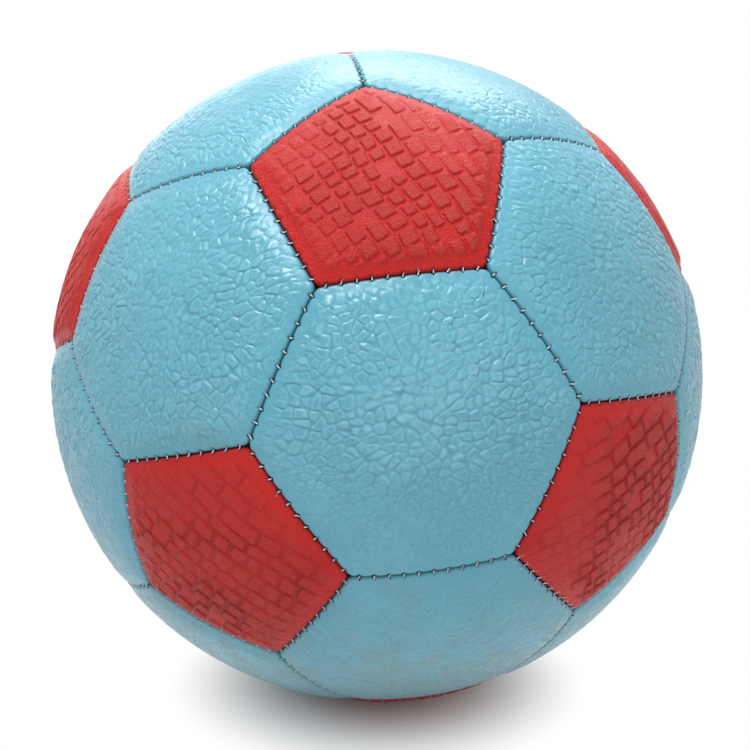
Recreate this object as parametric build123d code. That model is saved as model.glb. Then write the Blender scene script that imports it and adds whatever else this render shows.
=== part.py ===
"""A stitched handball: twenty hexagon and twelve pentagon panels sewn over a bladder with a needle valve.

The ball's centre is the origin. The front hexagon faces -Y, the valve leaves along +Y, and +Z is up.
Every panel is a leather cover whose edge turns in along the seam, with foam and a cloth lining glued inside.
"""

import os
from itertools import combinations
from math import asin, atan, atan2, cos, pi, radians, sin, sqrt, tan

from build123d import *

# Driving dimensions, in millimetres and degrees
BALL_DIAMETER = 175.0  # 550 round, the middle of a size 2 handball
PANEL_ROLL = -6.2  # how far the pentagon above the front hexagon leans from +Z towards +X

COVER_THICKNESS = 1.3
FOAM_THICKNESS = 2.2
LINING_THICKNESS = 0.6
GLUE_LINE = 0.1  # film of adhesive between two glued layers

SEAM_GAP = 0.5  # between the turned-in edges of two neighbours
EDGE_ROUND = 2.6  # outer radius where a cover turns in
CORNER_ROUND = 4.5  # radius of a panel's corners, seen from above
SEAM_ALLOWANCE = 1.2  # leather between the stitch line and the raw edge

THREAD_DIAMETER = 0.6
STITCH_DIAMETER = 0.5  # the thread where it is pulled tight through the leather
STITCH_PITCH = 3.15
STITCH_SLACK = 0.05  # radial room of the thread in its needle hole and along the leather

BLADDER_WALL = 0.9
BLADDER_SLACK = 0.2  # between the bladder and what it lies against

NECK_DIAMETER = 9.0  # valve neck where it passes through the panel
NECK_RECESS = 0.4  # neck end below the cover's surface
NECK_SLACK = 0.1
BOOT_FLANGE_DIAMETER = 26.0  # flange that seals the valve boot to the bladder
BOOT_FLANGE_THICKNESS = 1.4
BOOT_TAIL = 5.0  # boot below its flange, inside the bladder
PATCH_DIAMETER = 32.0  # reinforcing disc let into the lining around the valve

PLUG_DIAMETER = 5.9
PLUG_SLACK = 0.05
PLUG_HEAD_DIAMETER = 7.2
PLUG_HEAD_THICKNESS = 1.1
PLUG_LIP = 2.5  # closed rubber beyond the needle channel, split by the slit
PLUG_OVERHANG = 1.5  # plug beyond the boot's tail
NEEDLE_CHANNEL_DIAMETER = 2.2  # takes a 2 mm inflating needle
LEAD_IN_DIAMETER = 3.4
LEAD_IN_DEPTH = 0.8
SLIT_WIDTH = 2.8
SLIT_GAP = 0.2

# Radii and depths that follow
BALL = BALL_DIAMETER / 2
STITCH_DEPTH = EDGE_ROUND + STITCH_DIAMETER / 2 + STITCH_SLACK  # just under the bend of the cover
STITCH_RADIUS = BALL - STITCH_DEPTH
RAW_EDGE = STITCH_RADIUS - SEAM_ALLOWANCE
FOAM_TOP = BALL - COVER_THICKNESS - GLUE_LINE
FOAM_BACK = FOAM_TOP - FOAM_THICKNESS
LINING_TOP = FOAM_BACK - GLUE_LINE
LINING_BACK = LINING_TOP - LINING_THICKNESS
BLADDER_OUTER = min(RAW_EDGE, LINING_BACK) - BLADDER_SLACK
BLADDER_INNER = BLADDER_OUTER - BLADDER_WALL

COVER_INSET = SEAM_GAP / 2
CAVITY_INSET = COVER_INSET + COVER_THICKNESS
THREAD_RUN = CAVITY_INSET + STITCH_SLACK + THREAD_DIAMETER / 2  # seam plane to the run behind the leather
FILLING_INSET = THREAD_RUN + THREAD_DIAMETER / 2 + STITCH_SLACK

NECK_HOLE = NECK_DIAMETER / 2 + NECK_SLACK
NECK_END = BALL - NECK_RECESS
FLANGE_TOP = BLADDER_INNER - GLUE_LINE
FLANGE_BACK = FLANGE_TOP - BOOT_FLANGE_THICKNESS
TAIL_END = FLANGE_BACK - BOOT_TAIL
PLUG_END = TAIL_END - PLUG_OVERHANG
CHANNEL_END = PLUG_END + PLUG_LIP

# A truncated icosahedron of unit edge gives the angles that every panel and seam shares
CIRCUMRADIUS = sqrt(58 + 18 * sqrt(5)) / 4
SEAM_ANGLE = 2 * asin(1 / (2 * CIRCUMRADIUS))  # one seam, seen from the ball's centre
GOLDEN = (1 + sqrt(5)) / 2
FRONT = Vector(0, -1, 0)
VALVE_AXIS = Vector(0, 1, 0)
HEXAGON, PENTAGON = 6, 5


def seam_lean(sides):
    """Angle at the ball's centre from a panel's middle to the middle of its edge."""
    inradius = 1 / (2 * tan(pi / sides))
    circumradius = 1 / (2 * sin(pi / sides))
    return atan(inradius / sqrt(CIRCUMRADIUS**2 - circumradius**2))


def pentagon_directions():
    """Middles of the pentagons, with one hexagon between three of them turned to the front."""
    signs = [(a, b * GOLDEN) for a in (1, -1) for b in (1, -1)]
    corners = [Vector(*p) for a, b in signs for p in ((0, a, b), (a, b, 0), (b, 0, a))]
    first = Vector(0, 1, GOLDEN)
    face = first + Vector(0, -1, GOLDEN) + Vector(GOLDEN, 0, 1)
    roll = radians(PANEL_ROLL)
    standing = Plane((0, 0, 0), x_dir=first, z_dir=face)
    turned = Plane((0, 0, 0), x_dir=(sin(roll), 0, cos(roll)), z_dir=FRONT)
    return [turned.from_local_coords(standing.to_local_coords(c)).normalized() for c in corners]


def are_neighbours(one, other):
    """Two pentagon middles that are joined by one seam between hexagons."""
    return abs(one.dot(other) - 1 / sqrt(5)) < 0.01


def from_the_front(panel):
    """Sort key: rings from the front backwards, and round each ring from +Z."""
    middle = panel[0]
    return round(middle.Y, 3), round(atan2(middle.X, middle.Z), 3)


def panel_places(pentagons):
    """Each panel's middle and the direction of one corner, for the hexagons and the pentagons."""
    hexagons = []
    for a, b, c in combinations(pentagons, 3):
        if are_neighbours(a, b) and are_neighbours(b, c) and are_neighbours(a, c):
            hexagons.append(((a + b + c).normalized(), a * 2 + b))
    fives = [(a, next(b for b in pentagons if are_neighbours(a, b))) for a in pentagons]
    return sorted(hexagons, key=from_the_front), sorted(fives, key=from_the_front)


def seam_places(pentagons):
    """Each seam's middle and its direction, for hexagon to hexagon and hexagon to pentagon."""
    between_hexagons, round_pentagons = [], []
    for a, b in combinations(pentagons, 2):
        if are_neighbours(a, b):
            between_hexagons.append((a + b, b - a))
    for a in pentagons:
        ring = [b for b in pentagons if are_neighbours(a, b)]
        for b, c in combinations(ring, 2):
            if are_neighbours(b, c):
                round_pentagons.append((a * 4 + b + c, c - b))
    return between_hexagons, round_pentagons


def ball(radius):
    """A full ball whose parametric seam lies away from +Z, where panels are cut from it."""
    return Rot(90, 0, 0) * Sphere(radius)


def post(diameter, low, high):
    """A cylinder about the valve axis of the panel's own frame."""
    return Pos(0, 0, (low + high) / 2) * Cylinder(diameter / 2, high - low)


def wedge(sides, inset, low, high):
    """Flat-sided wedge of one panel about +Z, its sides the seam planes moved in by inset."""
    lean = seam_lean(sides)

    def ring(height):
        reach = (height * sin(lean) - inset) / cos(lean) / cos(pi / sides)
        return [Vector(reach, 0, height).rotate(Axis.Z, 360 * k / sides) for k in range(sides)]

    bottom, top = ring(low), ring(high)
    walls = [
        Face(Wire.make_polygon([bottom[k - 1], bottom[k], top[k], top[k - 1]])) for k in range(sides)
    ]
    caps = [Face(Wire.make_polygon(bottom)), Face(Wire.make_polygon(top))]
    return Solid(Shell(walls + caps))


def pillow(sides, inset, top, back, corner, edge_round=0.0):
    """One layer of a panel about +Z, from the sphere of radius top down to the sphere of radius back."""
    blank = wedge(sides, inset, back / 2, top + 1)
    upright = [e for e in blank.edges() if abs(e.tangent_at(0.5).Z) > 0.5]
    layer = fillet(upright, corner) & ball(top)
    if edge_round:
        rim = [e for e in layer.edges() if all(abs(e.position_at(t).length - top) < 1e-4 for t in (0, 0.3, 1))]
        layer = fillet(rim, edge_round)
    return layer - ball(back)


def stitch_angles():
    """Angles of the stitches along a seam from its middle, clear of the rounded corners."""
    pitch = STITCH_PITCH / STITCH_RADIUS
    corner_run = CORNER_ROUND * tan(pi / PENTAGON) + STITCH_DIAMETER
    reach = SEAM_ANGLE / 2 - corner_run / STITCH_RADIUS
    count = int(2 * reach / pitch) + 1
    return [(k - (count - 1) / 2) * pitch for k in range(count)]


def needle_holes(sides):
    """The stitch holes through the turned-in edge of a panel about +Z."""
    lean = seam_lean(sides)
    outward = Vector(cos(lean), 0, -sin(lean))
    middle = Vector(sin(lean), 0, cos(lean))
    along = Vector(0, 1, 0)
    drill = Cylinder(STITCH_DIAMETER / 2 + STITCH_SLACK, 2 * (COVER_INSET + 2 * COVER_THICKNESS))
    one_edge = [
        Plane((middle * cos(t) + along * sin(t)) * STITCH_RADIUS, x_dir=along, z_dir=outward) * drill
        for t in stitch_angles()
    ]
    turns = [Rot(0, 0, 360 * (k + 0.5) / sides) for k in range(sides)]
    return [turn * hole for turn in turns for hole in one_edge]


def cover(sides):
    """Leather of one panel: a dome whose edge turns in along the seam planes, with its needle holes."""
    skin = pillow(sides, COVER_INSET, BALL, RAW_EDGE, CORNER_ROUND, EDGE_ROUND)
    hollow = pillow(
        sides,
        CAVITY_INSET,
        BALL - COVER_THICKNESS,
        RAW_EDGE - COVER_THICKNESS,
        CORNER_ROUND - COVER_THICKNESS,
    )
    return skin - hollow - needle_holes(sides)


def foam(sides):
    """Foam sheet glued under a cover, rounded as the cover's inside is."""
    inset_growth = FILLING_INSET - COVER_INSET
    return pillow(
        sides,
        FILLING_INSET,
        FOAM_TOP,
        FOAM_BACK,
        CORNER_ROUND - inset_growth,
        EDGE_ROUND - COVER_THICKNESS,
    )


def lining(sides):
    """Cloth glued to the back of the foam."""
    return pillow(sides, FILLING_INSET, LINING_TOP, LINING_BACK, CORNER_ROUND - (FILLING_INSET - COVER_INSET))


def valve_patch():
    """Reinforcing disc in the lining of the valve panel, about +Z."""
    disc = (ball(LINING_TOP) - ball(LINING_BACK)) & post(PATCH_DIAMETER, 0, BALL)
    return disc - post(2 * NECK_HOLE, 0, BALL)


def bladder():
    """Hollow rubber ball with a hole for the valve boot, about +Z."""
    return ball(BLADDER_OUTER) - ball(BLADDER_INNER) - post(2 * NECK_HOLE, 0, BALL)


def valve_boot():
    """Rubber sleeve that holds the plug: a flange sealed inside the bladder and a neck through the panel."""
    flange = (ball(FLANGE_TOP) - ball(FLANGE_BACK)) & post(BOOT_FLANGE_DIAMETER, 0, BALL)
    body = flange + post(NECK_DIAMETER, TAIL_END, NECK_END)
    seat = post(PLUG_DIAMETER + 2 * PLUG_SLACK, 0, BALL)
    head_seat = post(
        PLUG_HEAD_DIAMETER + 2 * PLUG_SLACK, NECK_END - PLUG_HEAD_THICKNESS - PLUG_SLACK, BALL
    )
    return body - seat - head_seat


def valve_plug():
    """Self-sealing plug: a headed stem with a needle channel that ends in a slit lip."""
    stem = post(PLUG_DIAMETER, PLUG_END, NECK_END) + post(
        PLUG_HEAD_DIAMETER, NECK_END - PLUG_HEAD_THICKNESS, NECK_END
    )
    channel = post(NEEDLE_CHANNEL_DIAMETER, CHANNEL_END, NECK_END)
    lead_in = Pos(0, 0, NECK_END - LEAD_IN_DEPTH / 2) * Cone(
        NEEDLE_CHANNEL_DIAMETER / 2, LEAD_IN_DIAMETER / 2, LEAD_IN_DEPTH
    )
    slit = Pos(0, 0, (PLUG_END + CHANNEL_END) / 2) * Box(SLIT_WIDTH, SLIT_GAP, PLUG_LIP)
    return stem - channel - lead_in - slit


def seam_thread():
    """Thread of one seam: a run behind the leather on each side, and a stitch through each pair of holes.

    The thread is six-sided, and a stitch is bedded in both runs.
    """
    angles = stitch_angles()
    overrun = THREAD_DIAMETER / STITCH_RADIUS
    start = angles[0] - overrun
    span = angles[-1] - angles[0] + 2 * overrun
    end = Vector(sin(start), 0, cos(start))
    runs = []
    for side in (1, -1):
        centre = end * STITCH_RADIUS + Vector(0, side * THREAD_RUN, 0)
        section = Plane(centre, x_dir=end, z_dir=(cos(start), 0, -sin(start)))
        runs.append(revolve(section * RegularPolygon(THREAD_DIAMETER / 2, 6), Axis.Y, span * 180 / pi))
    stitch = extrude(RegularPolygon(STITCH_DIAMETER / 2, 6), THREAD_RUN, both=True)
    stitches = [
        Plane(Vector(sin(t), 0, cos(t)) * STITCH_RADIUS, x_dir=(cos(t), 0, -sin(t)), z_dir=(0, 1, 0)) * stitch
        for t in angles
    ]
    return runs[0] + runs[1:] + stitches


def placed(shape, middle, towards):
    """A panel-frame shape turned so that +Z meets middle and +X leans towards the given direction."""
    return Plane((0, 0, 0), x_dir=towards, z_dir=middle).location * shape


def build():
    """Every node's shape by name."""
    pentagons = pentagon_directions()
    hexagon_places, pentagon_places = panel_places(pentagons)
    hexagon_seams, pentagon_seams = seam_places(pentagons)
    valve_place = hexagon_places.pop()
    neck_hole = post(2 * NECK_HOLE, 0, 2 * BALL)
    patch_hole = post(PATCH_DIAMETER + 2 * GLUE_LINE, 0, 2 * BALL)

    nodes = {}
    hexagon_cover, pentagon_cover = cover(HEXAGON), cover(PENTAGON)
    for number, place in enumerate(hexagon_places, 1):
        nodes[f"hexagon_panel_{number:02d}"] = placed(hexagon_cover, *place)
    for number, place in enumerate(pentagon_places, 1):
        nodes[f"pentagon_panel_{number:02d}"] = placed(pentagon_cover, *place)
    nodes["valve_panel"] = placed(hexagon_cover - neck_hole, *valve_place)

    hexagon_foam, pentagon_foam = foam(HEXAGON), foam(PENTAGON)
    nodes["hexagon_foam_pads"] = [placed(hexagon_foam, *place) for place in hexagon_places]
    nodes["pentagon_foam_pads"] = [placed(pentagon_foam, *place) for place in pentagon_places]
    nodes["valve_foam_pad"] = placed(hexagon_foam - neck_hole, *valve_place)

    hexagon_lining, pentagon_lining = lining(HEXAGON), lining(PENTAGON)
    nodes["hexagon_linings"] = [placed(hexagon_lining, *place) for place in hexagon_places]
    nodes["pentagon_linings"] = [placed(pentagon_lining, *place) for place in pentagon_places]
    nodes["valve_lining"] = placed(hexagon_lining - patch_hole, *valve_place)

    thread = seam_thread()
    nodes["hexagon_seam_threads"] = [placed(thread, *seam) for seam in hexagon_seams]
    nodes["pentagon_seam_threads"] = [placed(thread, *seam) for seam in pentagon_seams]

    nodes["valve_patch"] = placed(valve_patch(), *valve_place)
    nodes["bladder"] = placed(bladder(), *valve_place)
    nodes["valve_boot"] = placed(valve_boot(), *valve_place)
    nodes["valve_plug"] = placed(valve_plug(), *valve_place)
    return nodes


os.makedirs("parts", exist_ok=True)
for name, shape in build().items():
    node = Compound(children=shape) if isinstance(shape, list) else shape
    export_step(node, f"parts/{name}.step")
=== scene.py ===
"""Looks of the stitched handball: leather panels, seam threads, the valve, the floor, light and camera."""

from math import atan, cos, pi, radians, sin, sqrt, tan

import bpy
import numpy as np
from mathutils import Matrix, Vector


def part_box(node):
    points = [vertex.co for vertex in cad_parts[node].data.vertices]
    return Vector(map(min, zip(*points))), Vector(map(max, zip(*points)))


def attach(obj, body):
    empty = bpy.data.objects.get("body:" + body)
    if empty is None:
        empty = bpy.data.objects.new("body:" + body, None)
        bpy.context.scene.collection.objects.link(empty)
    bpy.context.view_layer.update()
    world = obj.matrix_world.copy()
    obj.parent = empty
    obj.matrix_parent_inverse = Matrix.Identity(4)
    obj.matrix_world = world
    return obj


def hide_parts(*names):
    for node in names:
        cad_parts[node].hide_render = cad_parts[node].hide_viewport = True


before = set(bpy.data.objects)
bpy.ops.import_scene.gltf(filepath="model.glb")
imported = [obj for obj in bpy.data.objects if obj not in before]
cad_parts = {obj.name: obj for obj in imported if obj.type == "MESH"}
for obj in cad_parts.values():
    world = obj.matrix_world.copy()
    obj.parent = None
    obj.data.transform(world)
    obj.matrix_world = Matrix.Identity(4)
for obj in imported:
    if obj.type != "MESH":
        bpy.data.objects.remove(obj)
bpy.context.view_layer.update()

# Sizes in millimetres; every mesh is scaled to metres when it is made
MM = 0.001
BALL = 87.5  # radius

# Panels
SEAM_HALF_GAP = 0.08
EDGE_ROUND = 0.8  # radius over which a panel's edge turns into the seam
CORNER_ROUND = 2.5
SEAM_DEPTH = 4.0
HEXAGON_SAG = 0.4  # how far the leather sinks towards a seam of two hexagons before it turns in
PENTAGON_SAG = 0.8  # the same at a seam between a hexagon and a pentagon
SAG_REACH = 3.4
RELIEF_START = 0.8  # distance from the seam where the leather's relief begins
RELIEF_FULL = 4.0  # and where it has its full height
CORE_INSET = 6.0  # from a seam to the edge of the panel's even mesh
CORE_CELLS = {6: 74, 5: 76}  # quads of that mesh along half an edge
BORDER_START = 5.0  # from a seam to the first row outside the even mesh
BORDER_STEP = 0.4
PANEL_ROLL = radians(-6.2)
GOLDEN = (1 + sqrt(5)) / 2
CIRCUMRADIUS = sqrt(58 + 18 * sqrt(5)) / 4  # of the ball, in lengths of an edge

# Grain of the hexagons
PEBBLE = 2.6
FINE_PEBBLE = 1.5
PEBBLE_SQUASH = 1.25
GRAIN_BEND = 2.4
GRAIN_BEND_WIDTH = 4.5
CREASE_DEPTH = 0.30
FINE_CREASE_DEPTH = 0.12
CREASE_SHADE = 0.18

# Embossed tiles of the pentagons
TILE_ROW = 4.0
TILE_WIDTH = 4.0
TILE_HEIGHT = 0.37
TILE_CORNER = 0.5
TILE_BEND = 3.0

# Stitches
STITCH_PITCH = 3.15
STITCHES = 11
DARK_THREAD = 0.14  # radii of the threads and of a loose fibre
PALE_THREAD = 0.15
FIBRE = 0.045
PLIES = 2
HEXAGON_LAID = 0.7  # how low the dark thread lies between two stitches, by kind of seam
PENTAGON_LAID = 0.5
HOLE_WIDTH = 0.40  # along the seam
HOLE_REACH = 0.65  # into the panel
HOLE_DEPTH = 0.32
HOLE_DRAW = 0.2  # how far the leather is drawn back from the seam at a hole
GATHER_WIDTH = 0.95  # the leather that each stitch gathers around its hole
GATHER_REACH = 2.8
GATHER_DEPTH = 0.05
FRAYED_SEAM = (0.35, -0.84, -0.42)  # the seam that lies this way has many loose fibres

# Where the leather is soiled: direction from the ball's centre, reach and strength
SMUDGES = (
    ((-0.50, -0.86, -0.04), 8.0, 0.30),
    ((-0.03, -0.90, -0.43), 9.0, 0.36),
    ((-0.17, -0.84, -0.52), 10.0, 0.32),
    ((-0.40, 0.70, -0.59), 12.0, 0.32),
    ((0.62, 0.76, 0.18), 9.0, 0.28),
    ((0.90, -0.10, -0.42), 11.0, 0.30),
)

# Valve: radii of the panel's hole, then of the boot, then of the plug, and their lengths
NECK_HOLE = 4.6
NECK = 4.5
FLANGE = 13.0
HEAD_SEAT = 3.65
BORE = 3.0
PLUG_HEAD = 3.6
PLUG_STEM = 2.95
CHANNEL = 1.1
HEAD_THICKNESS = 1.1
FLANGE_THICKNESS = 1.4
BOOT_TAIL = 5.0
PLUG_LIP = 2.5
SLIT_HALF_WIDTH = 1.4
SLIT_HALF_GAP = 0.1
TURN_STEPS = 96  # points around a turned piece


def unit(vectors):
    """Vectors of length one."""
    vectors = np.asarray(vectors, float)
    return vectors / np.linalg.norm(vectors, axis=-1, keepdims=True)


# Where the panels and seams lie


def pentagon_directions():
    """Middles of the pentagons, with one hexagon between three of them turned to -Y."""
    corners = []
    for a in (1, -1):
        for b in (GOLDEN, -GOLDEN):
            corners += [(0, a, b), (a, b, 0), (b, 0, a)]
    first = np.array((0, 1, GOLDEN))
    face = unit(first + (0, -1, GOLDEN) + (GOLDEN, 0, 1))
    standing = local_frame(face, first)
    facing = local_frame((0, -1, 0), (sin(PANEL_ROLL), 0, cos(PANEL_ROLL)))
    return unit(np.array(corners) @ standing @ facing.T)


def local_frame(middle, towards):
    """Matrix of a panel's X, Y and Z: Z through its middle, and X leaning towards a direction."""
    z = unit(middle)
    x = np.asarray(towards, float)
    x = unit(x - z * (x @ z))
    return np.stack([x, np.cross(z, x), z], axis=1)


def are_neighbours(one, other):
    """Two pentagon middles with one hexagon seam between them."""
    return abs(one @ other - 1 / sqrt(5)) < 0.01


def layout():
    """Frames of the hexagons and pentagons, and frames of both kinds of seam."""
    fives = pentagon_directions()
    hexagons, pentagons, between_hexagons, round_pentagons = [], [], [], []
    for i, a in enumerate(fives):
        ring = [b for b in fives if are_neighbours(a, b)]
        pentagons.append(local_frame(a, ring[0]))
        for j, b in enumerate(ring):
            for c in ring[j + 1:]:
                if are_neighbours(b, c):
                    round_pentagons.append(local_frame(4 * a + b + c, c - b))
        for j in range(i + 1, len(fives)):
            b = fives[j]
            if not are_neighbours(a, b):
                continue
            between_hexagons.append(local_frame(a + b, b - a))
            for c in fives[j + 1:]:
                if are_neighbours(a, c) and are_neighbours(b, c):
                    hexagons.append(local_frame(a + b + c, 2 * a + b))
    return hexagons, pentagons, between_hexagons, round_pentagons


def seam_lean(sides):
    """Angle at the ball's centre from a panel's middle to the middle of its edge."""
    inradius = 1 / (2 * tan(pi / sides))
    circumradius = 1 / (2 * sin(pi / sides))
    return atan(inradius / sqrt(CIRCUMRADIUS**2 - circumradius**2))


# Seeded noise on arrays of points


def hashed(ix, iy, seed):
    """A number from 0 to 1 for each whole-numbered cell."""
    ix = ix.astype(np.int64).astype(np.uint32)
    iy = iy.astype(np.int64).astype(np.uint32)
    h = ix * np.uint32(374761393) + iy * np.uint32(668265263) + np.uint32(seed * 974634777 % 2**32)
    h = (h ^ (h >> np.uint32(13))) * np.uint32(1274126177)
    h = (h ^ (h >> np.uint32(16))) * np.uint32(2246822519)
    h = h ^ (h >> np.uint32(15))
    return h.astype(float) / 2**32


def smooth_noise(x, y, seed):
    """Soft noise from 0 to 1 with bumps about one unit wide."""
    ix, iy = np.floor(x), np.floor(y)
    fx, fy = x - ix, y - iy
    fx = fx * fx * (3 - 2 * fx)
    fy = fy * fy * (3 - 2 * fy)
    low = hashed(ix, iy, seed) * (1 - fx) + hashed(ix + 1, iy, seed) * fx
    high = hashed(ix, iy + 1, seed) * (1 - fx) + hashed(ix + 1, iy + 1, seed) * fx
    return low * (1 - fy) + high * fy


def layered_noise(x, y, seed, layers=3):
    """Noise with finer noise on it, from 0 to 1."""
    total, weight, share = 0, 0, 1.0
    for k in range(layers):
        total = total + share * smooth_noise(x * 2**k + 17.3 * k, y * 2**k - 9.1 * k, seed + k)
        weight += share
        share *= 0.5
    return total / weight


def cells(x, y, seed):
    """How much nearer each point is to its cell's middle than to the next, and the cell's own tilt there."""
    ix, iy = np.floor(x), np.floor(y)
    nearest = np.full(x.shape, 9.0)
    second = np.full(x.shape, 9.0)
    tilt = np.zeros(x.shape)
    for dx in (-1, 0, 1):
        for dy in (-1, 0, 1):
            cx, cy = ix + dx, iy + dy
            px = cx + 0.5 + 0.86 * (hashed(cx, cy, seed) - 0.5)
            py = cy + 0.5 + 0.86 * (hashed(cx, cy, seed + 101) - 0.5)
            far = np.hypot(x - px, y - py)
            lean_x = hashed(cx, cy, seed + 211) - 0.5
            lean_y = hashed(cx, cy, seed + 307) - 0.5
            tilt = np.where(far < nearest, lean_x * (x - px) + lean_y * (y - py), tilt)
            second = np.minimum(second, np.maximum(nearest, far))
            nearest = np.minimum(nearest, far)
    return second - nearest, tilt


def ramp(x, low, high):
    """Smooth step from 0 at low to 1 at high."""
    t = np.clip((x - low) / (high - low), 0, 1)
    return t * t * (3 - 2 * t)


# One panel's mesh before it is turned to its place


class Template:
    """Points of a panel about +Z: directions, depth below the ball, distance to the seam, place along it."""

    def __init__(self, sides, hole=0.0):
        self.sides = sides
        self.lean = seam_lean(sides)
        angles = (np.arange(sides) + 0.5) * 2 * pi / sides
        outward = cos(self.lean) * np.cos(angles), cos(self.lean) * np.sin(angles)
        self.normals = np.stack([*outward, np.full(sides, -sin(self.lean))], axis=1)
        middle = sin(self.lean) * np.cos(angles), sin(self.lean) * np.sin(angles)
        self.middles = np.stack([*middle, np.full(sides, cos(self.lean))], axis=1)
        self.along = np.stack([-np.sin(angles), np.cos(angles), np.zeros(sides)], axis=1)
        self.turn_cos = float(self.normals[0] @ self.normals[1])
        self.points, self.depths, self.faces = self.build(hole)
        self.measure()

    def seam_distance(self, directions):
        """Distance in millimetres to the rounded outline midway in the seam."""
        each = -BALL * directions @ self.normals.T
        first, second = np.sort(each, axis=-1)[..., :2].transpose(-1, *range(each.ndim - 1))
        u, v = CORNER_ROUND - first, CORNER_ROUND - second
        in_corner = (u - v * self.turn_cos > 0) & (v - u * self.turn_cos > 0)
        reach = np.sqrt(np.maximum(u * u + v * v - 2 * u * v * self.turn_cos, 0) / (1 - self.turn_cos**2))
        return np.where(in_corner, CORNER_ROUND - reach, first)

    def core(self):
        """Flat points and quads of the inner polygon, and its border in order."""
        count = CORE_CELLS[self.sides]
        reach = tan(self.lean - CORE_INSET / BALL) / cos(pi / self.sides)
        corners = [reach * np.array((cos(a), sin(a))) for a in np.arange(self.sides) * 2 * pi / self.sides]
        index, points, faces, border = {}, [], [], []

        def vertex(point):
            key = (round(point[0] * 1e7), round(point[1] * 1e7))
            if key not in index:
                index[key] = len(points)
                points.append(point)
            return index[key]

        for k, corner in enumerate(corners):
            before = (corners[k - 1] + corner) / 2
            after = (corner + corners[(k + 1) % self.sides]) / 2
            grid = np.empty((count + 1, count + 1), int)
            for i in range(count + 1):
                for j in range(count + 1):
                    a, b = i / count, j / count
                    grid[i, j] = vertex(before * a * (1 - b) + corner * a * b + after * b * (1 - a))
            faces += [
                (grid[i, j], grid[i + 1, j], grid[i + 1, j + 1], grid[i, j + 1])
                for i in range(count) for j in range(count)
            ]
            border += list(grid[count, :count]) + list(grid[count:0:-1, count])
        return np.array(points), faces, border

    def build(self, hole):
        """Directions, depths and quads of the whole panel."""
        flat, faces, border = self.core()
        directions = unit(np.column_stack([flat, np.ones(len(flat))]))
        depths = np.zeros(len(flat))
        if hole:
            rim = directions[border]
            directions, depths, faces, border = self.holed_core(rim, hole)
        rim = directions[border]
        heading = np.arctan2(rim[:, 1], rim[:, 0])
        rows, row_depths = self.border_rows()
        blocks, block_depths = [directions], [depths]
        count = len(directions)
        last = np.array(border)
        for distance, depth in zip(rows, row_depths):
            ring = self.ring_at(heading, distance)
            new = count + np.arange(len(border))
            faces += list(zip(last, new, np.roll(new, -1), np.roll(last, -1)))
            blocks.append(ring)
            block_depths.append(np.full(len(border), depth))
            count += len(border)
            last = new
        return np.concatenate(blocks), np.concatenate(block_depths), np.array(faces)

    def holed_core(self, rim, hole):
        """Rings from the valve hole out to the inner polygon, in place of the full core."""
        heading = np.arctan2(rim[:, 1], rim[:, 0])
        rim_tilt = np.arccos(rim[:, 2])
        edge = 0.9
        steps = [(hole, 3.2), (hole, 1.6)]  # radius and depth, up the hole's wall and over its rounded edge
        steps += [(hole + edge * (1 - cos(a)), edge * (1 - sin(a))) for a in np.linspace(0, pi / 2, 7)]
        tilts = [np.full(len(rim), reach / BALL) for reach, _ in steps]
        depths = [np.full(len(rim), depth) for _, depth in steps]
        start = (hole + edge) / BALL
        for share in np.linspace(0, 1, CORE_CELLS[6] + 1)[1:]:
            tilts.append(start + (rim_tilt - start) * share)
            depths.append(np.zeros(len(rim)))
        points = self.tilted(np.tile(heading, len(depths)), np.concatenate(tilts))
        faces = []
        count = len(rim)
        for row in range(len(depths) - 1):
            a = row * count + np.arange(count)
            faces += list(zip(a, a + count, np.roll(a, -1) + count, np.roll(a, -1)))
        border = list((len(depths) - 1) * count + np.arange(count))
        return points, np.concatenate(depths), faces, border

    def border_rows(self):
        """Distances from the seam and depths of the rows over the edge and down into the seam."""
        shoulder = SEAM_HALF_GAP + EDGE_ROUND
        rows = [(d, 0.0) for d in np.arange(BORDER_START, shoulder + BORDER_STEP / 2, -BORDER_STEP)]
        for angle in np.linspace(0, pi / 2, 11):
            rows.append((shoulder - EDGE_ROUND * sin(angle), EDGE_ROUND * (1 - cos(angle))))
        rows += [(SEAM_HALF_GAP, depth) for depth in np.linspace(EDGE_ROUND, SEAM_DEPTH, 4)[1:]]
        return zip(*rows)

    def ring_at(self, heading, distance):
        """Directions at one distance from the seam, along each heading from the middle."""
        low = np.zeros(len(heading))
        high = np.full(len(heading), 0.5)
        for _ in range(45):
            tilt = (low + high) / 2
            inside = self.seam_distance(self.tilted(heading, tilt)) > distance
            low = np.where(inside, tilt, low)
            high = np.where(inside, high, tilt)
        return self.tilted(heading, low)

    @staticmethod
    def tilted(heading, tilt):
        """Directions at an angle from +Z, towards a heading."""
        flat = np.sin(tilt)
        return np.stack([flat * np.cos(heading), flat * np.sin(heading), np.cos(tilt)], axis=1)

    def measure(self):
        """For each point: distance to the seam, its edge, its place along that edge, and flat millimetres."""
        self.inside = self.seam_distance(self.points)
        self.edge = np.argmin(-self.points @ self.normals.T, axis=1)
        over = np.einsum("ij,ij->i", self.points, self.along[self.edge])
        up = np.einsum("ij,ij->i", self.points, self.middles[self.edge])
        self.place = BALL * np.arctan2(over, up)
        nearness = np.exp(BALL * self.points @ self.normals.T / 1.5)
        self.edge_share = nearness / nearness.sum(axis=1, keepdims=True)
        tilt = np.arccos(np.clip(self.points[:, 2], -1, 1))
        scale = BALL * tilt / np.maximum(np.hypot(self.points[:, 0], self.points[:, 1]), 1e-9)
        self.flat = self.points[:, :2] * scale[:, None]


def stitch_places():
    """Millimetres along a seam from its middle to each stitch."""
    return (np.arange(STITCHES) - (STITCHES - 1) / 2) * STITCH_PITCH


def stitch_pull(place, width):
    """1 at a stitch and 0 midway between two, along a seam."""
    return np.max(np.exp(-(((place[:, None] - stitch_places()) / width) ** 2)), axis=1)


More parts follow.
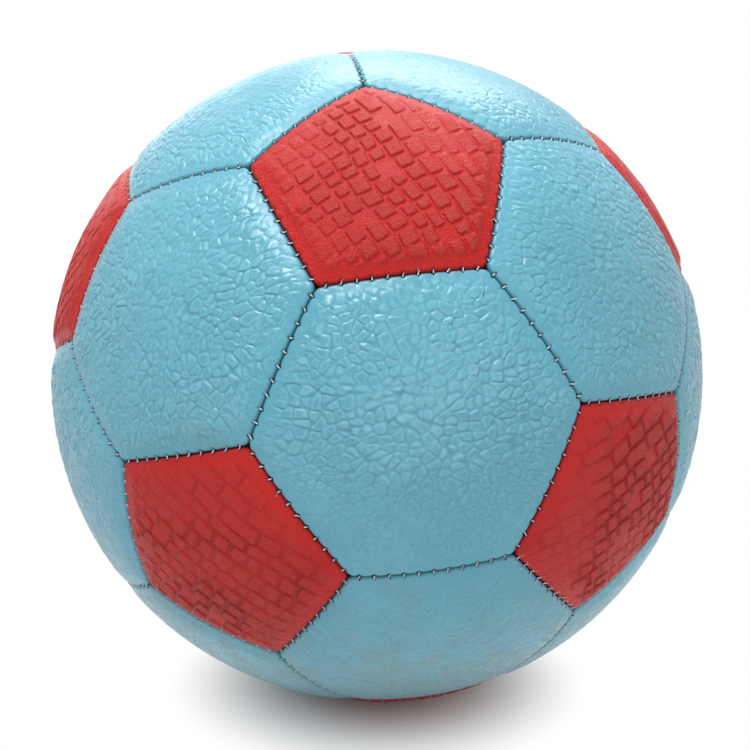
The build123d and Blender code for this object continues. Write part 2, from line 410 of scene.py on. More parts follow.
# Relief of the leather: its height in millimetres, its raised marks, which carry a painted sheen, and the
# painted shade of its hollows, both from 0 to 1


def grain_place(template, seed):
    """Flat place of a panel's points, turned and moved so that no two panels share their grain."""
    turn = 2 * pi * (seed * 0.381966 % 1)
    x = template.flat[:, 0] * cos(turn) - template.flat[:, 1] * sin(turn) + 211.0 * seed
    y = template.flat[:, 0] * sin(turn) + template.flat[:, 1] * cos(turn) - 97.0 * seed
    return x, y


def grain_wear(template, place):
    """How much of the grain shows: less low on the ball, and less on its top."""
    upright = (template.points @ place.T)[:, 2]
    low = 0.32 + 0.68 * ramp(upright, -0.45, 0.12)
    top = 1 - 0.75 * ramp(upright, 0.62, 0.9)
    return low * top


def pebbled(template, place, seed):
    """Relief of a hexagon: pebbles of two sizes with creases between them, and the masks of painted shade in
    those creases and of a painted highlight on the pebbles' shoulders.
    """
    x, y = grain_place(template, seed)
    bend_x = GRAIN_BEND * (layered_noise(x / GRAIN_BEND_WIDTH, y / GRAIN_BEND_WIDTH, 11) - 0.5)
    bend_y = GRAIN_BEND * (layered_noise(x / GRAIN_BEND_WIDTH, y / GRAIN_BEND_WIDTH, 23) - 0.5)
    u, v = x + bend_x, PEBBLE_SQUASH * (y + bend_y)
    border, tilt = cells(u / PEBBLE, v / PEBBLE, 5)
    small_border, small_tilt = cells(u / FINE_PEBBLE, v / FINE_PEBBLE, 7)
    patchy = 0.7 + 0.3 * ramp(layered_noise(x / 17, y / 17, 31), 0.3, 0.62)
    strength = grain_wear(template, place) * patchy
    fade = 0.45 + 0.55 * ramp(layered_noise(x / 2.3, y / 2.3, 37), 0.3, 0.6)
    patch = ramp(layered_noise(x / 9, y / 9, 41), 0.35, 0.65)
    coarse = (1 - ramp(border, 0.0, 0.30)) * fade
    fine = (1 - ramp(small_border, 0.0, 0.34)) * patch * (1.1 - fade)
    # crease is the mask of painted shade in the creases, shoulder the mask of a painted highlight on the
    # pebbles beside them
    crease = strength * np.maximum(coarse, 0.6 * fine)
    shoulder = strength * ramp(border, 0.06, 0.30) * (1 - ramp(border, 0.30, 0.62))
    swell = 0.10 * (layered_noise(x / 2.6, y / 2.6, 51) - 0.5)
    facets = 0.62 * tilt * ramp(border, 0.0, 0.30) + 0.12 * patch * small_tilt
    height = swell + strength * (facets - CREASE_DEPTH * coarse - FINE_CREASE_DEPTH * fine)
    return height, shoulder, CREASE_SHADE * crease


def tile_lean(side, lift, right):
    """Lean of the rows of tiles on a pentagon, by the way it faces, and where its tiles are worn smooth."""
    if abs(side) < 0.2:
        return radians(-56), 0.0
    if side < 0:
        return radians(-38), ramp(lift, 2, 15)
    return radians(28), ramp(-right, 3, 16)


def tile_outline(u, v, seed):
    """Distance of each point past the round-cornered outline of its tile, and the tile's row and column."""
    start = 37.0 * seed
    row, low_v, high_v = interval(v + start, np.zeros(len(v)), TILE_ROW, 0.25, 81)
    long = 1 + 0.9 * ramp(row * TILE_ROW - start, 3, 11)
    shift = 1.1 * row + 1.2 * (hashed(row, row * 0, 83) - 0.5)
    column, low_u, high_u = interval(u / long - shift, row, TILE_WIDTH, 0.38, 87)
    channel = 0.32 + 0.22 * hashed(row, column, 91)
    half_u = long * (high_u - low_u) / 2 - channel
    half_v = (high_v - low_v) / 2 - channel
    from_middle = u - long * (shift + (low_u + high_u) / 2)
    off_u = np.abs(from_middle) - half_u + TILE_CORNER
    off_v = np.abs(v + start - (low_v + high_v) / 2 + 0.08 * from_middle) - half_v + TILE_CORNER
    beyond = np.hypot(np.maximum(off_u, 0), np.maximum(off_v, 0))
    return beyond + np.minimum(np.maximum(off_u, off_v), 0) - TILE_CORNER, row, column


def tiled(template, place, seed):
    """Relief of a pentagon: rows of embossed tiles with channels between them, fading towards its edges; the
    tiles carry a painted sheen and the channels painted shade.
    """
    up_x, up_y = unit(place[2, :2])
    x, y = template.flat.T
    lift, right = x * up_x + y * up_y, x * up_y - y * up_x
    lean, smooth = tile_lean(place[0, 2], lift, right)
    bend_u = TILE_BEND * (layered_noise(x / 15 + seed, y / 15, 61, 2) - 0.5)
    bend_v = TILE_BEND * (layered_noise(x / 16 - seed, y / 16, 71, 2) - 0.5)
    u = right * cos(lean) + lift * sin(lean) + bend_u
    v = lift * cos(lean) - right * sin(lean) + bend_v
    outside, row, column = tile_outline(u, v, seed)
    tile = 1 - ramp(outside, -0.24, 0.14)
    margin = ramp(template.inside, 1.5, 4.0)
    strength = 0.45 + 0.55 * ramp(layered_noise(x / 14 + 3 * seed, y / 14, 99, 2), 0.3, 0.55)
    swell = 0.06 * (layered_noise(x / 2.5 + seed, y / 2.5, 51) - 0.5)
    shown = margin * strength * (1 - 0.6 * smooth) * (hashed(row, column, 95) > 0.06)
    # painted shade in the channels: strong on pentagons that face down, weak on those that face up
    facing_shade = 0.2 + 0.8 * ramp(-place[2, 2], -0.4, 0.0)
    return swell + TILE_HEIGHT * tile * shown, tile * shown, (1 - tile) * shown * facing_shade


def interval(value, key, width, jitter, seed):
    """The whole number, low end and high end of the uneven interval that holds each value."""
    base = np.floor(value / width)
    low = np.full(value.shape, -1e9)
    high = np.full(value.shape, 1e9)
    index = base.copy()
    for step in (-1, 0, 1, 2):
        number = base + step
        end = (number + jitter * (hashed(number, key, seed) - 0.5)) * width
        below = end <= value
        index = np.where(below & (end > low), number, index)
        low = np.where(below, np.maximum(low, end), low)
        high = np.where(below, high, np.minimum(high, end))
    return index, low, high


# Meshes


def mesh_object(name, points, faces, attributes=None):
    """A smooth-shaded mesh object from millimetre points and quads."""
    mesh = bpy.data.meshes.new(name)
    faces = np.asarray(faces, np.int32)
    mesh.vertices.add(len(points))
    mesh.vertices.foreach_set("co", (np.asarray(points) * MM).astype(np.float32).ravel())
    mesh.loops.add(faces.size)
    mesh.loops.foreach_set("vertex_index", faces.ravel())
    mesh.polygons.add(len(faces))
    mesh.polygons.foreach_set("loop_start", np.arange(0, faces.size, faces.shape[1], dtype=np.int32))
    mesh.polygons.foreach_set("use_smooth", np.ones(len(faces), bool))
    mesh.update(calc_edges=True)
    mesh.validate()
    for key, values in (attributes or {}).items():
        layer = mesh.attributes.new(key, "FLOAT", "POINT")
        layer.data.foreach_set("value", np.asarray(values, np.float32))
    piece = bpy.data.objects.new(name, mesh)
    bpy.context.scene.collection.objects.link(piece)
    return piece


def panel_object(name, template, place, seed, relief):
    """One leather panel in its place, with its grain, its rounded edge and the pull of its stitches."""
    height, mark, dip = relief(template, place, seed)
    inside = np.maximum(template.inside - SEAM_HALF_GAP, 0)
    settle = ramp(template.inside, RELIEF_START, RELIEF_FULL)
    hole = stitch_pull(template.place, HOLE_WIDTH) * np.exp(-((inside / HOLE_REACH) ** 2))
    gather = stitch_pull(template.place, GATHER_WIDTH) * np.exp(-((inside / GATHER_REACH) ** 2))
    depth = template.edge_share @ edge_sags(template, place)
    drop = template.depths + sag(inside, depth) + HOLE_DEPTH * hole + GATHER_DEPTH * gather - settle * height
    in_seam = template.depths > EDGE_ROUND
    drop = np.where(in_seam, template.depths + depth + 0.2, drop)
    points = template.points * (BALL - drop)[:, None]
    points = points - template.normals[template.edge] * (HOLE_DRAW * hole)[:, None]
    attributes = {
        # mark also carries a painted sheen on the raised marks
        "mark": mark * settle,
        # painted shade in the hollows
        "dip": dip * settle,
        # mask of the painted shade where the leather turns into the seam
        "seam": np.exp(-inside / 1.6),
        "smudge_and_low_tint": smudge_and_low_tint(template.points @ place.T, template.flat, seed),
    }
    return mesh_object(name, points @ place.T, template.faces, attributes)


def edge_sags(template, place):
    """How far the leather sinks at each edge of a panel in its place."""
    nearest_pentagon = np.max(template.middles @ place.T @ pentagon_directions().T, axis=1)
    return np.where(nearest_pentagon > 0.9, PENTAGON_SAG, HEXAGON_SAG)


def sag(inside, depth):
    """How far the leather has sunk at a distance from its edge."""
    return depth * np.exp(-((inside / SAG_REACH) ** 2))


def smudge_and_low_tint(directions, flat, seed):
    """How much each point takes the grime colour, from 0 to 1: at the listed smudges, and more towards the
    bottom.
    """
    tinted = np.zeros(len(directions))
    for middle, reach, strength in SMUDGES:
        away = BALL * np.arccos(np.clip(directions @ unit(middle), -1, 1))
        tinted = np.maximum(tinted, strength * np.exp(-((away / reach) ** 2)))
    # greyer and yellower towards the bottom
    tinted = np.maximum(tinted, 0.5 * ramp(-directions[:, 2], 0.25, 0.75))
    x, y = flat.T
    return tinted * (0.3 + 0.7 * ramp(layered_noise(x / 5 + 5 * seed, y / 5, 131, 4), 0.3, 0.75))


def tube(path, radius, sides, twist=0.0):
    """Points and quads of a closed twisted thread along a path."""
    path = np.asarray(path, float)
    ahead = unit(np.gradient(path, axis=0))
    helper = np.array((0.31, 0.17, 0.93))
    side = unit(np.cross(ahead, helper))
    up = np.cross(ahead, side)
    run = np.concatenate([[0], np.cumsum(np.linalg.norm(np.diff(path, axis=0), axis=1))])
    turn = np.arange(sides) * 2 * pi / sides
    angle = turn[None, :] + twist * run[:, None]
    width = radius * (1 + 0.16 * np.cos(PLIES * turn))[None, :]
    taper = np.ones(len(path))
    taper[0] = taper[-1] = 0.35
    width = width * taper[:, None]
    outward = np.cos(angle)[..., None] * side[:, None] + np.sin(angle)[..., None] * up[:, None]
    rings = path[:, None] + width[..., None] * outward
    faces = []
    for i in range(len(path) - 1):
        a = i * sides + np.arange(sides)
        faces += list(zip(a, np.roll(a, -1), np.roll(a, -1) + sides, a + sides))
    return rings.reshape(-1, 3), np.array(faces)


def joined(parts):
    """Many point and quad sets as one."""
    points, faces, count = [], [], 0
    for part_points, part_faces in parts:
        points.append(part_points)
        faces.append(part_faces + count)
        count += len(part_points)
    return np.concatenate(points), np.concatenate(faces)


def seam_point(place, along, across, depth):
    """A point near a seam: along it, across it and below the ball's surface, in millimetres."""
    angle = np.asarray(along) / BALL
    radius = BALL - np.asarray(depth)
    sideways = np.asarray(across) + 0 * radius
    return np.stack([np.sin(angle) * radius, sideways, np.cos(angle) * radius], axis=-1) @ place.T


def stitch_jitter(seed, number, kind):
    """Four numbers from -0.5 to 0.5 for one stitch of one seam."""
    return hashed(np.full(4, seed * 40 + number), np.arange(4) + 10 * kind, 7) - 0.5


def wall_depth(across, sunk):
    """Depth of the leather's rounded edge below the ball, at a distance from the middle of a seam."""
    inside = np.maximum(across - SEAM_HALF_GAP, 0)
    over_edge = np.clip((EDGE_ROUND - inside) / EDGE_ROUND, 0, 1)
    return EDGE_ROUND * (1 - np.sqrt(1 - over_edge**2)) + sag(inside, sunk)


def dark_stitches(place, seed, sunk, laid):
    """Dark thread of one seam: on either side it runs low in the groove and rises into each stitch hole."""
    parts = []
    rise = np.array((0.0, 0.0, 0.22, 0.7, 1.0, 0.7, 0.22, 0.0))
    step = np.array((-1.45, -0.75, -0.48, -0.24, 0.0, 0.24, 0.48, 0.75))
    for kind, side in ((1, 1.0), (2, -1.0)):
        along, across = [], []
        for k, middle in enumerate(stitch_places()):
            jitter = stitch_jitter(seed, k, kind)
            along.append(middle + 0.25 * jitter[0] + step + 0.3 * jitter[1] * rise)
            across.append(0.12 + (0.68 + 0.3 * jitter[2]) * rise)
        along, across = np.concatenate(along), np.concatenate(across)
        depth = wall_depth(across, sunk) + 0.20 + laid * np.tile(1 - rise, STITCHES)
        parts.append(tube(seam_point(place, along, side * across, depth), DARK_THREAD, sides=6, twist=3.0))
    return parts


def pale_stitches(place, seed, sunk):
    """Pale thread of one seam: a short bar from wall to wall at each stitch, and loose fibres on some."""
    parts = []
    bar_depth = sunk + 0.58 * EDGE_ROUND
    frayed = place[:, 2] @ unit(FRAYED_SEAM) > 0.99
    slack = 0.85 + 0.4 * hashed(np.array([seed]), np.array([11]), 17)[0]
    t = np.linspace(-1, 1, 9)
    for k, middle in enumerate(stitch_places()):
        jitter = stitch_jitter(seed, k, 3)
        across = slack * (0.46 + 0.2 * jitter[0]) * t
        depth = bar_depth - 0.35 * t * t + 0.2 * jitter[1]
        slant = middle + 0.2 * jitter[2] + (0.16 + 0.4 * jitter[3]) * t
        parts.append(tube(seam_point(place, slant, across, depth), PALE_THREAD, sides=6, twist=4.0))
        loose = 1 if stitch_jitter(seed, k, 5)[0] > 0.42 else 0
        for number in range(8 if frayed else loose):
            bend = stitch_jitter(seed, k, 4 + number)
            side = 1.0 if number % 2 else -1.0
            parts.append(loose_fibre(place, middle, bar_depth, side, bend))
    return parts


def loose_fibre(place, middle, bar_depth, side, bend):
    """One fibre that curls out of a stitch to one side."""
    t = np.linspace(0, 1, 5)
    across = side * (0.3 + (0.9 + 0.9 * bend[0]) * t)
    depth = bar_depth - 0.28 - (1.0 + bend[1]) * t + 0.9 * t * t
    slant = middle + 1.6 * bend[2] * t + 1.2 * bend[3] * t * t
    return tube(seam_point(place, slant, across, depth), FIBRE, sides=4)


def turned(rings):
    """Points and quads of a piece turned about +Y, from a closed round of radii and heights."""
    angle = turn_angles()
    points, faces = [], []
    for number, (radius, height) in enumerate(rings):
        reach = radius + 0 * angle
        points.append(np.stack([reach * np.cos(angle), height + 0 * angle, reach * np.sin(angle)], axis=1))
        a = number * TURN_STEPS + np.arange(TURN_STEPS)
        b = (number + 1) % len(rings) * TURN_STEPS + np.arange(TURN_STEPS)
        faces += list(zip(a, b, np.roll(b, -1), np.roll(a, -1)))
    return np.concatenate(points), np.array(faces)


def turn_angles():
    """Angle of each point around a turned piece."""
    return np.arange(TURN_STEPS) * 2 * pi / TURN_STEPS


def arc(radius, height, size, start, end, steps=6):
    """Radii and heights along a rounded corner, from one angle to another in degrees."""
    angles = np.radians(np.linspace(start, end, steps))
    return [(radius + size * cos(a), height + size * sin(a)) for a in angles]


def straight(start, end, steps):
    """Radii and heights along a straight line, without its ends."""
    shares = np.arange(1, steps) / steps
    return [(start[0] + (end[0] - start[0]) * s, start[1] + (end[1] - start[1]) * s) for s in shares]


def node_reach(name):
    """Lowest and highest Y of a CAD node in millimetres."""
    low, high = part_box(name)
    return low[1] / MM, high[1] / MM


def dome(radius, across):
    """Height on a ball about the centre, at a distance across from the valve's axis."""
    return sqrt(radius**2 - across**2)


def boot_rings():
    """Outline of the valve boot: tail, flange, neck with a rolled rim, head seat and bore."""
    tail_end, neck_end = node_reach("valve_boot")
    back = tail_end + BOOT_TAIL
    top = back + FLANGE_THICKNESS
    rim = (NECK - HEAD_SEAT) / 2
    spread_out = np.linspace(NECK + 0.5, FLANGE - 0.3, 8)
    rings = arc(NECK - 0.4, tail_end + 0.4, 0.4, -90, 0)
    rings += straight((NECK, tail_end + 0.4), (NECK, back - 0.9), 6)
    rings += [(NECK, dome(back, NECK) - 0.5), (NECK + 0.15, dome(back, NECK) - 0.12)]
    rings += [(r, dome(back, r)) for r in spread_out]
    rings += [(FLANGE, dome(back, FLANGE) + 0.3), (FLANGE, dome(top, FLANGE) - 0.3)]
    rings += [(r, dome(top, r)) for r in spread_out[::-1]]
    rings += [(NECK + 0.15, dome(top, NECK) + 0.05), (NECK, dome(top, NECK) + 0.4)]
    rings += straight((NECK, top + 0.3), (NECK, neck_end - rim), 6)
    rings += arc(NECK - rim, neck_end - rim, rim, 0, 180, 13)
    seat = neck_end - HEAD_THICKNESS - 0.05
    rings += [(HEAD_SEAT, seat + 0.35), (HEAD_SEAT, seat + 0.08), (HEAD_SEAT - 0.08, seat)]
    rings += [(BORE + 0.25, seat), (BORE + 0.06, seat - 0.06), (BORE, seat - 0.3)]
    rings += straight((BORE, seat - 0.3), (BORE, tail_end + 0.3), 8)
    return rings + [(BORE, tail_end + 0.3), (BORE + 0.06, tail_end + 0.06), (BORE + 0.25, tail_end)]


def plug_rings():
    """Outline of the plug: ribbed stem, round-edged head with a moulded ring, lead-in, channel and slit."""
    end, face = node_reach("valve_plug")
    angle = turn_angles()
    to_width = SLIT_HALF_WIDTH / np.maximum(abs(np.cos(angle)), 1e-6)
    to_gap = SLIT_HALF_GAP / np.maximum(abs(np.sin(angle)), 1e-6)
    slit = np.minimum(to_width, to_gap)
    rings = [(slit, end), (slit + 0.05, end), (1.9, end)]
    rings += arc(PLUG_STEM - 0.4, end + 0.4, 0.4, -90, 0)
    groove_shape = ((-0.4, 0.0), (-0.22, 0.05), (0.0, 0.16), (0.22, 0.05), (0.4, 0.0))
    for groove in (3.2, 4.8, 6.4, 8.0):
        rings += [(PLUG_STEM - depth, end + groove + step) for step, depth in groove_shape]
    under = face - HEAD_THICKNESS
    rings += [(PLUG_STEM, under - 0.3), (PLUG_STEM + 0.06, under - 0.02), (PLUG_HEAD - 0.3, under)]
    rings += arc(PLUG_HEAD - 0.15, under + 0.15, 0.15, -90, 0, 4)
    rings += arc(PLUG_HEAD - 0.35, face - 0.35, 0.35, 0, 90, 8)
    ring_dips = ((2.95, 0.0), (2.86, 0.04), (2.76, 0.14), (2.62, 0.18))
    ring_dips += ((2.48, 0.14), (2.38, 0.04), (2.28, 0.0))
    lead_in = ((2.0, 0.0), (1.85, 0.03), (1.70, 0.11), (1.54, 0.25))
    lead_in += ((1.38, 0.45), (1.22, 0.68), (1.13, 0.9))
    rings += [(r, face - depth) for r, depth in ring_dips + lead_in]
    channel_end = end + PLUG_LIP
    rings += [(CHANNEL, face - 1.3)] + straight((CHANNEL, face - 1.3), (CHANNEL, channel_end + 0.2), 8)
    rings += [(CHANNEL, channel_end + 0.2), (CHANNEL - 0.04, channel_end)]
    pinched = np.minimum(slit, CHANNEL - 0.1)
    return rings + [(pinched, channel_end), (slit, channel_end - 0.5), (slit, end + 0.3)]


# Materials


def material(name):
    """A new node material, its node tree and its principled shader."""
    made = bpy.data.materials.new(name)
    made.use_nodes = True
    return made, made.node_tree, made.node_tree.nodes["Principled BSDF"]


def feed(tree, socket, value):
    """Links an input to another node's output, or sets it to a constant."""
    if isinstance(value, bpy.types.NodeSocket):
        tree.links.new(value, socket)
    else:
        socket.default_value = value


def node(tree, kind, **inputs):
    """A new node with its inputs fed by name."""
    made = tree.nodes.new(kind)
    for key, value in inputs.items():
        feed(tree, made.inputs[key.replace("_", " ")], value)
    return made


def linear(red, green, blue):
    """A colour written in 8-bit sRGB, as the shader wants it."""
    channels = (red, green, blue)
    return tuple(((c / 255 + 0.055) / 1.055) ** 2.4 if c > 10 else c / 255 / 12.92 for c in channels) + (1.0,)


def mixed(tree, share, one, other):
    """Colour between two by a share."""
    made = tree.nodes.new("ShaderNodeMix")
    made.data_type = "RGBA"
    for key, value in ((0, share), (6, one), (7, other)):
        feed(tree, made.inputs[key], value)
    return made.outputs[2]


def spread(tree, value, low, high, to_low=0.0, to_high=1.0):
    """A value stretched smoothly from one range to another."""
    made = node(
        tree, "ShaderNodeMapRange", Value=value,
        From_Min=low, From_Max=high, To_Min=to_low, To_Max=to_high,
    )
    made.interpolation_type = "SMOOTHSTEP"
    return made.outputs["Result"]


def attribute(tree, name):
    """A value stored on the mesh's points."""
    made = tree.nodes.new("ShaderNodeAttribute")
    made.attribute_name = name
    return made.outputs["Fac"]


def noise(tree, scale, detail=3.0, offset=0.0):
    """Noise over the object, its bumps about 1/scale metres wide."""
    spot = tree.nodes.new("ShaderNodeTexCoord").outputs["Object"]
    moved = node(tree, "ShaderNodeMapping", Vector=spot, Location=(offset, offset * 0.7, -offset))
    texture = node(tree, "ShaderNodeTexNoise", Vector=moved.outputs[0], Scale=scale, Detail=detail)
    return texture.outputs["Fac"]


def product(tree, one, other):
    """Two values multiplied."""
    made = tree.nodes.new("ShaderNodeMath")
    made.operation = "MULTIPLY"
    feed(tree, made.inputs[0], one)
    feed(tree, made.inputs[1], other)
    return made.outputs[0]


def bumped(tree, height, strength, distance):
    """A normal bent by a height."""
    made = node(tree, "ShaderNodeBump", Height=height, Strength=strength, Distance=distance)
    return made.outputs["Normal"]


def leather(
    name, plain, light, sheen_tone, sheen_share, dark, grime, rough, mark_rough, specular, pores, pore_depth
):
    """Painted leather: tone and gloss of its raised marks, with a painted sheen on those marks, painted shade
    in its hollows and at its seams, smudges, a tint low on the ball and fine pores.
    """
    made, tree, shader = material(name)
    mark = attribute(tree, "mark")
    seam = attribute(tree, "seam")
    tone = mixed(tree, spread(tree, noise(tree, 35.0), 0.35, 0.65), plain, light)
    # painted sheen: the raised marks are paler, a painted highlight on the hexagons' pebble shoulders and a
    # painted sheen on the pentagons' tiles
    tone = mixed(tree, product(tree, mark, sheen_share), tone, sheen_tone)
    # painted shade in the hollows: the hexagons' creases and the pentagons' channels
    tone = mixed(tree, product(tree, attribute(tree, "dip"), 0.5), tone, dark)
    blotches = spread(tree, noise(tree, 500.0, 5.0), 0.25, 0.7, 0.4, 1.0)
    # the grime colour at the smudges and low on the ball
    tone = mixed(tree, product(tree, attribute(tree, "smudge_and_low_tint"), blotches), tone, grime)
    specks = product(tree, spread(tree, noise(tree, 700.0, 2.0, 5.0), 0.73, 0.78), 0.35)
    tone = mixed(tree, specks, tone, grime)
    # painted shade where the leather turns down into the seam
    edge = product(tree, spread(tree, seam, 0.55, 1.0), 0.35)
    tone = mixed(tree, edge, tone, dark)
    tree.links.new(tone, shader.inputs["Base Color"])
    uneven = spread(tree, noise(tree, 420.0, 4.0), 0.3, 0.7, -0.06, 0.08)
    gloss = node(tree, "ShaderNodeMath")
    tree.links.new(spread(tree, mark, 0.0, 1.0, rough, mark_rough), gloss.inputs[0])
    tree.links.new(uneven, gloss.inputs[1])
    tree.links.new(gloss.outputs[0], shader.inputs["Roughness"])
    shader.inputs["Specular IOR Level"].default_value = specular
    fine = product(tree, noise(tree, pores, 4.0), spread(tree, mark, 0.0, 1.0, 0.5, 1.0))
    tree.links.new(bumped(tree, fine, 0.5, pore_depth), shader.inputs["Normal"])
    return made


def thread(name, plain, light, rough):
    """Waxed thread with its ply showing."""
    made, tree, shader = material(name)
    tone = mixed(tree, spread(tree, noise(tree, 900.0), 0.4, 0.7), plain, light)
    tree.links.new(tone, shader.inputs["Base Color"])
    shader.inputs["Roughness"].default_value = rough
    tree.links.new(bumped(tree, noise(tree, 2600.0, 2.0), 0.5, 0.0001), shader.inputs["Normal"])
    return made


def plain_material(name, plain, light, rough, scale):
    """A simple material with a mottled tone and a fine bump, for the inner layers and the rubber."""
    made, tree, shader = material(name)
    tone = mixed(tree, spread(tree, noise(tree, scale), 0.35, 0.7), plain, light)
    tree.links.new(tone, shader.inputs["Base Color"])
    shader.inputs["Roughness"].default_value = rough
    tree.links.new(bumped(tree, noise(tree, scale * 6, 3.0), 0.3, 0.0002), shader.inputs["Normal"])
    return made


turquoise = leather(
    "turquoise_leather",
    plain=linear(97, 172, 193),
    light=linear(105, 181, 203),
    # painted highlight on the pebbles' shoulders
    sheen_tone=linear(148, 217, 234),
    sheen_share=0.45,
    # painted shade in the creases and at the seams
    dark=linear(40, 92, 108),
    grime=linear(128, 136, 112),
    rough=0.31,
    mark_rough=0.22,
    specular=0.48,
    pores=2600.0,
    pore_depth=0.00015,
)
red = leather(
    "red_leather",
    plain=linear(197, 31, 28),
    light=linear(205, 37, 33),
    # painted sheen on the tiles' pads
    sheen_tone=linear(192, 57, 52),
    sheen_share=0.8,
    # painted shade in the channels and at the seams
    dark=linear(105, 14, 14),
    grime=linear(122, 40, 34),
    rough=0.40,
    mark_rough=0.52,
    specular=0.25,
    pores=2200.0,
    pore_depth=0.0013,
)
dark_thread = thread("dark_thread", linear(24, 34, 50), linear(48, 60, 78), rough=0.6)
pale_thread = thread("pale_thread", linear(226, 226, 238), linear(248, 248, 252), rough=0.45)
foam = plain_material("foam", linear(226, 222, 206), linear(236, 233, 220), rough=0.9, scale=300.0)
cloth = plain_material("lining_cloth", linear(208, 204, 192), linear(224, 220, 210), rough=0.9, scale=900.0)
latex = plain_material("bladder_latex", linear(40, 40, 42), linear(56, 56, 58), rough=0.55, scale=60.0)
rubber = plain_material("valve_rubber", linear(27, 27, 29), linear(40, 40, 42), rough=0.55, scale=300.0)
plug_rubber = plain_material("plug_rubber", linear(58, 57, 58), linear(74, 73, 74), rough=0.45, scale=400.0)


# The ball


def cad_middle(name):
    """Direction of a CAD panel from the ball's centre."""
    low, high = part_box(name)
    return unit((np.array(low) + np.array(high)) / 2)


def cad_middles(*starts):
    """Directions of the CAD panels whose names start in one of these ways."""
    return {name: cad_middle(name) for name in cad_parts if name.startswith(starts)}


def dress(piece, finish, slot_name, *nodes, body="ball"):
    """Gives a piece its material and its body, and hides the CAD nodes that it stands for; its slot name is
    not used.
    """
    piece.data.materials.append(finish)
    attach(piece, body)
    if nodes:
        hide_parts(*nodes)


def nearest_panel(middles, place):
    """The CAD panel whose middle lies at a place's middle."""
    return max(middles, key=lambda name: middles[name] @ place[:, 2])


hexagon_places, pentagon_places, hexagon_seams, pentagon_seams = layout()
hexagon_middles = cad_middles("hexagon_panel_", "valve_panel")
pentagon_middles = cad_middles("pentagon_panel_")
hexagon, pentagon = Template(6), Template(5)
valve_hexagon = Template(6, NECK_HOLE)

for seed, place in enumerate(hexagon_places, 1):
    name = nearest_panel(hexagon_middles, place)
    template = valve_hexagon if name == "valve_panel" else hexagon
    panel = panel_object(name + "_leather", template, place, seed, pebbled)
    dress(panel, turquoise, "turquoise_leather", name)

for seed, place in enumerate(pentagon_places, 1):
    name = nearest_panel(pentagon_middles, place)
    panel = panel_object(name + "_leather", pentagon, place, seed, tiled)
    dress(panel, red, "red_leather", name)

# Kind of seam, its places, how far its leather sinks, and how low the dark thread lies between stitches
seam_kinds = (
    ("hexagon", hexagon_seams, HEXAGON_SAG, HEXAGON_LAID),
    ("pentagon", pentagon_seams, PENTAGON_SAG, PENTAGON_LAID),
)
for kind, seams, sunk, laid in seam_kinds:
    dark_parts, pale_parts = [], []
    for seed, place in enumerate(seams):
        dark_parts += dark_stitches(place, seed, sunk, laid)
        pale_parts += pale_stitches(place, seed, sunk)
    stitches = mesh_object(kind + "_seam_dark_thread", *joined(dark_parts))
    dress(stitches, dark_thread, "thread", kind + "_seam_threads")
    glints = mesh_object(kind + "_seam_pale_thread", *joined(pale_parts))
    dress(glints, pale_thread, "thread")

boot = mesh_object("valve_boot_rubber", *turned(boot_rings()))
dress(boot, rubber, "valve_rubber", "valve_boot")
plug = mesh_object("valve_plug_rubber", *turned(plug_rings()))
dress(plug, plug_rubber, "plug_rubber", "valve_plug", body="plug")

inner_finish = {
    "hexagon_foam_pads": foam, "pentagon_foam_pads": foam, "valve_foam_pad": foam,
    "hexagon_linings": cloth, "pentagon_linings": cloth, "valve_lining": cloth, "valve_patch": cloth,
    "bladder": latex,
}
for name, finish in inner_finish.items():
    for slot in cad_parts[name].material_slots:
        slot.material = finish


# Floor, light and camera


def seen_directly(tree):
    """1 for rays from the camera and for those that a shiny or clear surface sends on, otherwise 0."""
    path = tree.nodes.new("ShaderNodeLightPath")
    seen = path.outputs["Is Camera Ray"]
    for other in ("Is Glossy Ray", "Is Transmission Ray"):
        both = node(tree, "ShaderNodeMath")
        both.operation = "MAXIMUM"
        tree.links.new(seen, both.inputs[0])
        tree.links.new(path.outputs[other], both.inputs[1])
        seen = both.outputs[0]
    return seen


def floor_material():
    """Matte floor that takes the ball's shadow near it and is plain white to the camera farther out."""
    made, tree, shader = material("floor")
    spot = tree.nodes.new("ShaderNodeTexCoord").outputs["Object"]
    flat = node(tree, "ShaderNodeVectorMath", Vector=spot)
    flat.operation = "LENGTH"
    shadow_end, white_start = 0.0875, 0.107
    away = spread(tree, flat.outputs["Value"], shadow_end, white_start)
    seen = seen_directly(tree)
    grey, pale = (0.80, 0.80, 0.80, 1), (0.86, 0.86, 0.86, 1)
    tree.links.new(mixed(tree, seen, grey, pale), shader.inputs["Base Color"])
    shader.inputs["Roughness"].default_value = 0.9
    white = node(tree, "ShaderNodeEmission", Color=(1, 1, 1, 1), Strength=1.0)
    both = node(tree, "ShaderNodeMixShader")
    tree.links.new(product(tree, away, seen), both.inputs[0])
    tree.links.new(shader.outputs[0], both.inputs[1])
    tree.links.new(white.outputs[0], both.inputs[2])
    tree.links.new(both.outputs[0], tree.nodes["Material Output"].inputs["Surface"])
    return made


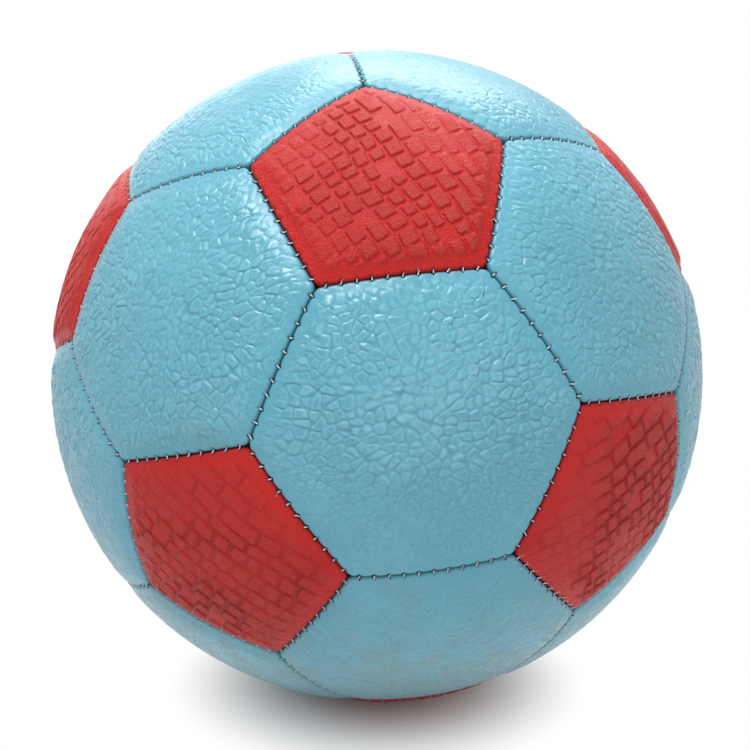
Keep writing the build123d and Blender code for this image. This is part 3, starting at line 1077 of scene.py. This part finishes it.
def area_light(name, spot, size, power):
    """A soft square lamp aimed at the ball's centre."""
    lamp = bpy.data.lights.new(name, "AREA")
    lamp.shape = "SQUARE"
    lamp.size = size
    lamp.energy = power
    piece = bpy.data.objects.new(name, lamp)
    piece.location = spot
    piece.rotation_euler = (-Vector(spot)).to_track_quat("-Z", "Y").to_euler()
    bpy.context.scene.collection.objects.link(piece)


def make_floor():
    """A wide plain floor under the ball."""
    reach = 3000
    signs = ((-1, -1), (1, -1), (1, 1), (-1, 1))
    corners = [(x * reach, y * reach, -BALL) for x, y in signs]
    floor = mesh_object("floor", np.array(corners), [(0, 1, 2, 3)])
    floor.data.materials.append(floor_material())


def make_world():
    """White to the camera and to reflections, softer as a light."""
    world = bpy.data.worlds.new("studio")
    world.use_nodes = True
    tree = world.node_tree
    back = tree.nodes["Background"]
    back.inputs["Color"].default_value = (1, 1, 1, 1)
    as_light, as_background = 0.18, 1.0
    seen = seen_directly(tree)
    strength = node(tree, "ShaderNodeMapRange", Value=seen, To_Min=as_light, To_Max=as_background)
    tree.links.new(strength.outputs["Result"], back.inputs["Strength"])
    bpy.context.scene.world = world


def make_camera():
    """Camera at the photograph's place, its lens from the ball's size in the picture."""
    picture = 750  # pixels, for the shifts
    azimuth, elevation, distance = radians(-6.03), radians(7.28), 3.3 * BALL * MM
    spot = Vector((sin(azimuth) * cos(elevation), -cos(azimuth) * cos(elevation), sin(elevation))) * distance
    lens = bpy.data.cameras.new("camera")
    lens.sensor_width = 36.0
    lens.lens = 49.15
    lens.shift_x = -1.9 / picture
    lens.shift_y = 0.7 / picture
    lens.clip_start = 0.01
    camera = bpy.data.objects.new("camera", lens)
    camera.location = spot
    camera.rotation_euler = (-spot).to_track_quat("-Z", "Y").to_euler()
    bpy.context.scene.collection.objects.link(camera)
    bpy.context.scene.camera = camera


make_floor()
make_world()
area_light("key_softbox", (-0.16, -0.29, 0.75), size=0.34, power=5.2)
area_light("top_softbox", (0.10, 0.30, 0.70), size=0.5, power=3.2)
area_light("low_fill", (0.15, -0.90, 0.03), size=0.25, power=0.9)
area_light("back_fill", (-0.20, 0.95, 0.25), size=0.7, power=1.6)
make_camera()
bpy.context.scene.view_settings.view_transform = "Standard"
